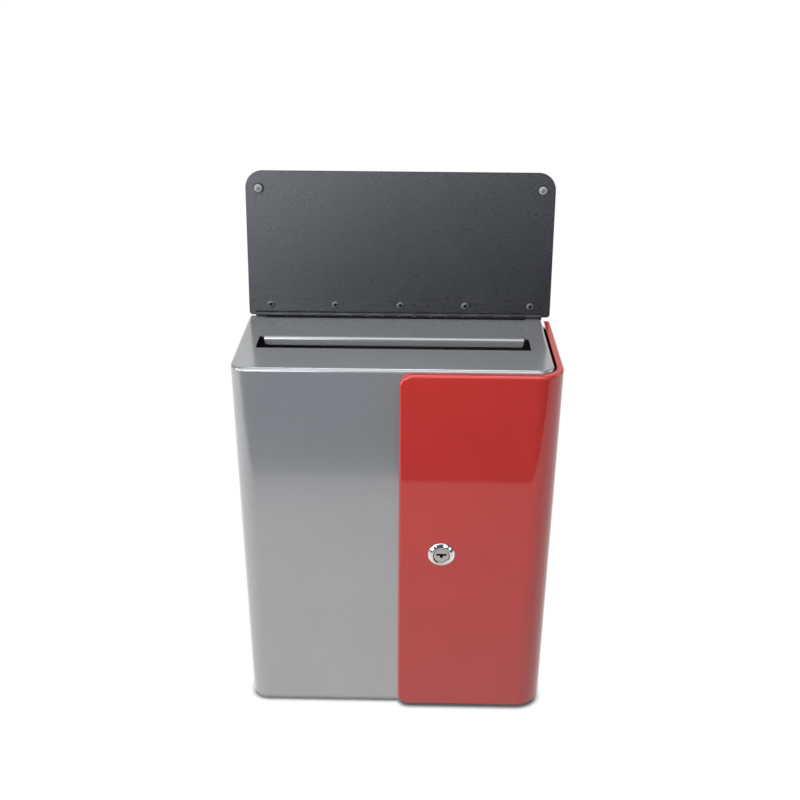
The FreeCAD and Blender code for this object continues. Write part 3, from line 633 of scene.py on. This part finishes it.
# %% [markdown]
# ## The lock's rim
# A cam lock shows a chromed rim like a small ring, rounded both ways, with the plug set a little inside
# it. The rim is what sparkles, because a round ring always mirrors some lamp. A bevel on the solid
# would give it one flat slope, so the rim is spun from its own profile. Behind the door its barrel goes
# on, so that an open door shows it too.

# %% Chromed rim and barrel
DOOR_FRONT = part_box("door_panel")[0][1]
BARREL_END = (DOOR_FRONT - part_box("lock_housing")[1][1]) / MM
RIM = [
    (7.85, BARREL_END), (9.5, BARREL_END), (9.5, 0), (11.5, 0), (11.5, 0.45), (11.3, 0.68),
    (10.9, 0.98), (10.2, 1.48), (9.5, 1.98), (8.9, 2.38), (8.5, 2.57), (8.15, 2.62),
    (7.8, 2.56), (7.45, 2.38), (7.25, 2.12), (7.2, 1.88), (7.85, 1.86), (7.85, BARREL_END),
]
lock_middle = Vector((LOCK_AXIS[0], DOOR_FRONT, LOCK_AXIS[2]))
lock_frame = Matrix.Translation(lock_middle) @ Matrix.Rotation(math.pi / 2, 4, "X")
lock_rim = piece(
    "lock_rim", [(RIM, lock_frame)], finishes["lock_chrome"], "door", "lock_chrome", "lock_housing"
)

# %% [markdown]
# ## The studio
# The box stands on a white sheet with a white wall behind it. The sheet ends a little way before the
# box, and the room beyond is dark. Glossy paint shows exactly that: a pale veil up to about the middle
# of the door, and deep colour above it. A plain white sheet under strong lamps could do it, but it
# would throw too much light on the box. So the sheet asks which ray has met it. To light that falls on
# the box it is a dim grey card. To the eye it is plain white, and in mirrors it is a little warm and
# fades towards its front edge. Close under the box hardly any light gets in, so the white darkens
# there: fully before the front, which the eye looks down on, and half as much beside and behind the box.

# %% The finish of the sheet and the wall
SHEET_FRONT = -0.475
NEAR_EDGE = 0.07
NEAR_GLOW = (1.0, 0.965, 0.955)
FAR_GLOW = (0.72, 0.695, 0.688)
WALL_GLOW = (0.7, 0.7, 0.7)
WHITE = (1, 1, 1)
CARD_GREY = (0.10, 0.10, 0.10, 1)
SHADOW_REACH = 0.006
SHADOW_SAMPLES = 16
SHADOW_STOPS = [(0.08, 1.0), (0.38, 0.35), (0.55, 0.10)]
SIDE_SHADOW = 0.5
SHADOW_FROM = 0.046
SHADOW_FULL = 0.058


def sheet_finish(name, near_glow, far_glow):
    finish = Finish(name)
    eye, mirror, glass = (
        finish.node("ShaderNodeLightPath", output=ray)
        for ray in ("Is Camera Ray", "Is Glossy Ray", "Is Transmission Ray")
    )
    place = finish.node("ShaderNodeTexCoord", output="Object")
    forward = 0 - finish.node("ShaderNodeSeparateXYZ", sockets=[place], output="Y")
    openness = finish.node(
        "ShaderNodeAmbientOcclusion", {"samples": SHADOW_SAMPLES}, {"Distance": SHADOW_REACH}, output="AO"
    )
    share = finish.node("ShaderNodeMapRange", sockets=[forward, SHADOW_FROM, SHADOW_FULL, SIDE_SHADOW, 1])
    shade = finish.node("ShaderNodeValToRGB", {"stops": SHADOW_STOPS}, [(1 - openness) * share])
    away = finish.node("ShaderNodeMapRange", sockets=[forward, NEAR_EDGE, -SHEET_FRONT])
    glow = tinted(finish, tinted(finish, near_glow, far_glow, away), WHITE, eye)
    card = finish.node("ShaderNodeBsdfDiffuse", sockets={"Color": CARD_GREY})
    shaded = tinted(finish, glow, shade, 1, "MULTIPLY")
    paper = finish.node("ShaderNodeEmission", sockets={"Color": shaded})
    return finish.show(finish.node("ShaderNodeMixShader", sockets=[eye + mirror + glass, card, paper]))


floor_finish = sheet_finish("studio_floor", NEAR_GLOW, FAR_GLOW)
wall_finish = sheet_finish("studio_wall", WALL_GLOW, WALL_GLOW)
print("sheet reaches", -SHEET_FRONT, "m before the box")

# %% [markdown]
# ## Floor and wall
# Both are single flat faces. A curved sweep from floor to wall would be more like a photographer's paper
# roll, but both are plain white to the eye, so no seam shows.

# %% Floor and wall
SHEET_BACK = 1.8
SHEET_HALF = 2.2
WALL_Y = SHEET_BACK + 0.02
WALL_TOP = 2.4


def flat_sheet(name, corners, material):
    mesh = bpy.data.meshes.new(name)
    mesh.from_pydata(corners, [], [tuple(range(len(corners)))])
    mesh.materials.append(material)
    made = bpy.data.objects.new(name, mesh)
    bpy.context.scene.collection.objects.link(made)
    print(name, "is", [round(side, 3) for side in made.dimensions], "m")


left, right = -SHEET_HALF, SHEET_HALF
flat_sheet(
    "studio_floor",
    [(left, SHEET_FRONT, 0), (right, SHEET_FRONT, 0), (right, SHEET_BACK, 0), (left, SHEET_BACK, 0)],
    floor_finish,
)
flat_sheet(
    "studio_wall",
    [(left, WALL_Y, 0), (right, WALL_Y, 0), (right, WALL_Y, WALL_TOP), (left, WALL_Y, WALL_TOP)],
    wall_finish,
)

# %% [markdown]
# ## The room
# The rest of the room fills the shadows with a weak even light. In mirrors it is darker and a little
# blue, which gives the upper half of the box its depth, and to the eye it is white like the wall. One
# colour can't be all three, so the room asks which ray has met it, as the sheet does.

# %% The room's light
ROOM_LIGHT = (0.165, 0.165, 0.165)
ROOM_MIRRORED = (0.085, 0.105, 0.135)
world = bpy.data.worlds.new("studio_room")
bpy.context.scene.world = world
room = Finish("studio_room", world)
in_mirrors = room.node("ShaderNodeLightPath", output="Is Glossy Ray")
to_the_eye = room.node("ShaderNodeLightPath", output="Is Camera Ray")
air = tinted(room, tinted(room, ROOM_LIGHT, ROOM_MIRRORED, in_mirrors), WHITE, to_the_eye)
room.show(room.node("ShaderNodeBackground", sockets={"Color": air}), "ShaderNodeOutputWorld")
print("room light:", ROOM_LIGHT[0], "of white")

# %% [markdown]
# ## Main lamps
# A wide soft lamp hangs over the front of the box and puts the bright line on its top fold. The key
# lamp at the upper left lights the top and the front. It is kept out of mirrors, because a second
# bright image in the fold would make that line too bright. The front lamp has a narrow spread and aims
# at the lid's left corner, so the front fades towards the right. Lamps at the sides and behind keep the
# other views from going black. One even sky could light everything, but then no fold would show.

# %% Softboxes that light the whole box
BOX_MIDDLE = (0, 0, 0.25)
LID_CORNER = (-0.12, 0.07, 0.46)
COOL = (0.96, 0.98, 1.0)
BLUISH = (0.90, 0.94, 1.0)
ALL_ROUND = 180
NARROW = 50


def softbox(name, place, size, watts, aim=BOX_MIDDLE, colour=COOL, spread=ALL_ROUND):
    """A flat lamp of some width and height, in metres, that faces a point of the box."""
    lamp = bpy.data.lights.new(name, "AREA")
    lamp.shape = "RECTANGLE"
    lamp.size, lamp.size_y = size
    lamp.energy = watts
    lamp.color = colour
    lamp.spread = math.radians(spread)
    holder = bpy.data.objects.new(name, lamp)
    holder.location = place
    holder.rotation_euler = (Vector(aim) - Vector(place)).to_track_quat("-Z", "Y").to_euler()
    bpy.context.scene.collection.objects.link(holder)
    return holder


softbox("overhead_softbox", (-0.05, -0.65, 1.75), (2.0, 1.3), watts=15.9)
key = softbox("key_softbox", (-0.5, -0.75, 1.05), (0.8, 0.8), watts=4.6)
key.visible_glossy = False
front = softbox(
    "front_softbox", (-0.66, -1.6, 1.0), (0.9, 0.8), watts=1.34,
    aim=LID_CORNER, colour=BLUISH, spread=NARROW,
)
softbox("left_softbox", (-1.3, -0.6, 0.7), (1.2, 1.3), watts=11)
softbox("right_softbox", (1.5, 0.3, 0.8), (0.8, 0.8), watts=3)
softbox("back_softbox", (0.0, 1.5, 2.2), (1.0, 0.6), watts=14)
print("lamps so far:", len(bpy.data.lights))

# %% [markdown]
# ## Lamps for single pieces
# A photographer holds black cards, called flags, before a lamp so that it reaches one piece only. Light
# linking does the same here: a lamp gets a collection of the pieces that it reaches, or of those that
# it leaves out. Three lamps are mirrored by the lid alone and give it the soft sheen that fades from
# its upper left. Two are mirrored by the lock's rim alone, and the front lamp is kept off the rim, so
# that the dark room shows at the top of the ring as in the photograph. The small lamps at the end put
# sparks on the bumpers, the rivets and the rim.


# %% Flagged lamps and small sparks
def gathered(name, members, state):
    """A collection that tells a lamp which pieces it reaches, or leaves out."""
    group = bpy.data.collections.new(name)
    for member in members:
        group.objects.link(member)
    for row in group.collection_objects:
        row.light_linking.link_state = state
    return group


def mirrored_by(group, holder):
    """Let a lamp be seen only as a mirror image, and only in some pieces."""
    holder.visible_diffuse = False
    holder.light_linking.receiver_collection = group


lid_only = gathered("lid_only", [nodes["lid_plate"], nodes["lid_hinge_lid_leaf"]], "INCLUDE")
rim_only = gathered("rim_only", [lock_rim], "INCLUDE")
front.light_linking.receiver_collection = gathered("off_the_rim", [lock_rim], "EXCLUDE")
for name, place, size, watts in (
    ("sheen_left", (-0.33, -1.9, 1.02), (0.75, 0.5), 5.8),
    ("sheen_right", (0.31, -1.9, 1.0), (0.6, 0.5), 5.1),
    ("sheen_low", (-0.66, -1.7, 0.42), (0.3, 0.5), 3.3),
):
    mirrored_by(lid_only, softbox(name, place, size, watts, aim=LID_CORNER, colour=BLUISH))
mirrored_by(rim_only, softbox("rim_key", (-0.96, -0.92, 1.17), (0.6, 0.7), watts=3.0))
mirrored_by(rim_only, softbox("rim_glint", (0.6, -1.3, 1.0), (0.5, 0.35), watts=0.75))
softbox("catch_light", (-0.45, -1.3, 1.3), (0.12, 0.12), watts=0.8, aim=LID_CORNER, colour=WHITE)
for side, way in (("left", -1), ("right", 1)):
    softbox("high_glint_" + side, (0.9 * way, -1.3, 1.0), (0.35, 0.35), watts=0.5)
    softbox("low_glint_" + side, (1.3 * way, -1.1, 0.45), (0.35, 0.4), watts=0.6)
print("lamps in all:", len(bpy.data.lights))

# %% [markdown]
# ## The camera
# The photograph looks down at the front from a little right of the middle. Its place and lens were found
# by fitting the box's known edges to where the photograph shows them. Turning it by eye would do for a
# first look, but a fit keeps every edge within a few pixels.

# %% Camera
CAMERA_PLACE = (0.01791, -0.79082, 0.67199)
PITCH = math.radians(26.034)
YAW = math.radians(-0.888)
ROLL = math.radians(-0.321)
LENS_MM = 45.57
SENSOR_MM = 36
camera = bpy.data.objects.new("camera", bpy.data.cameras.new("camera"))
camera.data.sensor_width = SENSOR_MM
camera.data.lens = LENS_MM
camera.matrix_world = (
    Matrix.Translation(CAMERA_PLACE)
    @ Matrix.Rotation(-YAW, 4, "Z")
    @ Matrix.Rotation(math.pi / 2 - PITCH, 4, "X")
    @ Matrix.Rotation(-ROLL, 4, "Z")
)
bpy.context.scene.collection.objects.link(camera)
bpy.context.scene.camera = camera
bpy.context.scene.view_settings.view_transform = "Standard"
print("camera at", CAMERA_PLACE)
